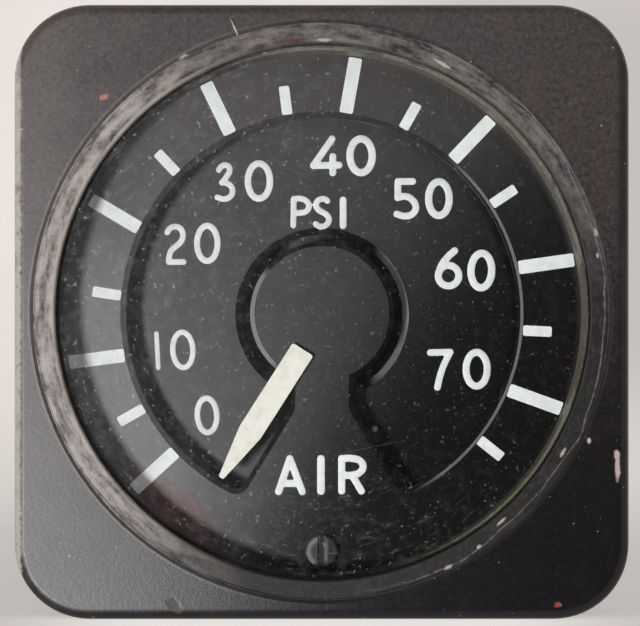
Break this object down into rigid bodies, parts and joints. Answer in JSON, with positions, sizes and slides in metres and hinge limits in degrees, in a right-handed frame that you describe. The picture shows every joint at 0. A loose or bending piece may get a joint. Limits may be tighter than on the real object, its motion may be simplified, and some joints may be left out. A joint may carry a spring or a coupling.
{
  "type": "aircraft pressure gauge",
  "caption": "Square-flanged panel pressure gauge, remote reading, with a sunk dial, a cranked pointer and a round plug socket behind.",
  "frame": {"origin": "on the instrument's axis, in the plane of the flange's back face", "axes": "the dial faces -Y, the barrel runs back along +Y, +Z is the dial's twelve o'clock"},
  "size_m": [0.0604, 0.0911, 0.0604],
  "materials": {
    "case_paint": "worn satin black paint over aluminium",
    "ring_paint": "worn black paint over aluminium",
    "gasket_rubber": "matte",
    "window_glass": "clear",
    "spacer_paint": "pale olive enamel",
    "mask_paint": "flat black enamel",
    "scale_paint": "flat black enamel",
    "mark_paint": "matte white dial paint",
    "pointer_paint": "matte cream dial paint",
    "screw_steel": "satin",
    "spindle_steel": "polished",
    "plate_brass": "satin",
    "jewel": "polished",
    "magnet": "ground",
    "copper": "turned",
    "winding": "enamelled wire",
    "core_steel": "laminated",
    "moulding": "moulded",
    "can_steel": "annealed",
    "board": "laminate",
    "tinned_brass": "tinned",
    "lead_sleeve": "woven sleeve",
    "cover_paint": "worn satin black paint over aluminium",
    "shell_metal": "olive passivated plating",
    "insert_plastic": "moulded",
    "pin_plate": "plated"
  },
  "bodies": {
    "case": {"case_body": "case_paint", "retaining_ring": "ring_paint", "glass_gasket": "gasket_rubber", "cover_glass": "window_glass", "spacer_ring": "spacer_paint", "dial_mask": "mask_paint", "scale_plate": "scale_paint", "scale_marks": "mark_paint", "dial_screw": "screw_steel", "movement_plate": "plate_brass", "locating_pin": "spindle_steel", "front_bridge": "plate_brass", "front_bridge_screws": "screw_steel", "front_jewel": "jewel", "stop_pins": "spindle_steel", "damping_cup": "copper", "stator_carrier": "moulding", "stator_core": "core_steel", "stator_coil_a": "winding", "stator_coil_b": "winding", "stator_coil_c": "winding", "stator_clamp": "moulding", "tie_studs": "screw_steel", "front_sleeves": "tinned_brass", "stator_sleeves": "tinned_brass", "board_sleeves": "tinned_brass", "bridge_nuts": "plate_brass", "board_nuts": "plate_brass", "rear_bridge": "plate_brass", "rear_jewel_screw": "plate_brass", "rear_jewel": "jewel", "jewel_lock_nut": "plate_brass", "pull_off_magnet": "magnet", "screening_can": "can_steel", "terminal_board": "board", "terminals": "tinned_brass", "coil_leads": "lead_sleeve", "connector_leads": "lead_sleeve", "cover_gasket": "gasket_rubber", "rear_cover": "cover_paint", "cover_screws": "screw_steel", "receptacle_gasket": "gasket_rubber", "receptacle_shell": "shell_metal", "receptacle_insert": "insert_plastic", "receptacle_pins": "pin_plate", "receptacle_screws": "screw_steel"},
    "pointer": {"pointer": "pointer_paint", "pointer_collet": "plate_brass", "balance_weight": "plate_brass", "spindle": "spindle_steel", "stop_arm": "plate_brass", "rotor_bush": "plate_brass", "rotor_magnet": "magnet"}
  },
  "joints": [
    {"name": "pointer", "type": "hinge", "parent": "case", "child": "pointer", "pos_m": [0, 0, 0], "axis": [0, 1, 0], "range_deg": [0, 297]}
  ]
}
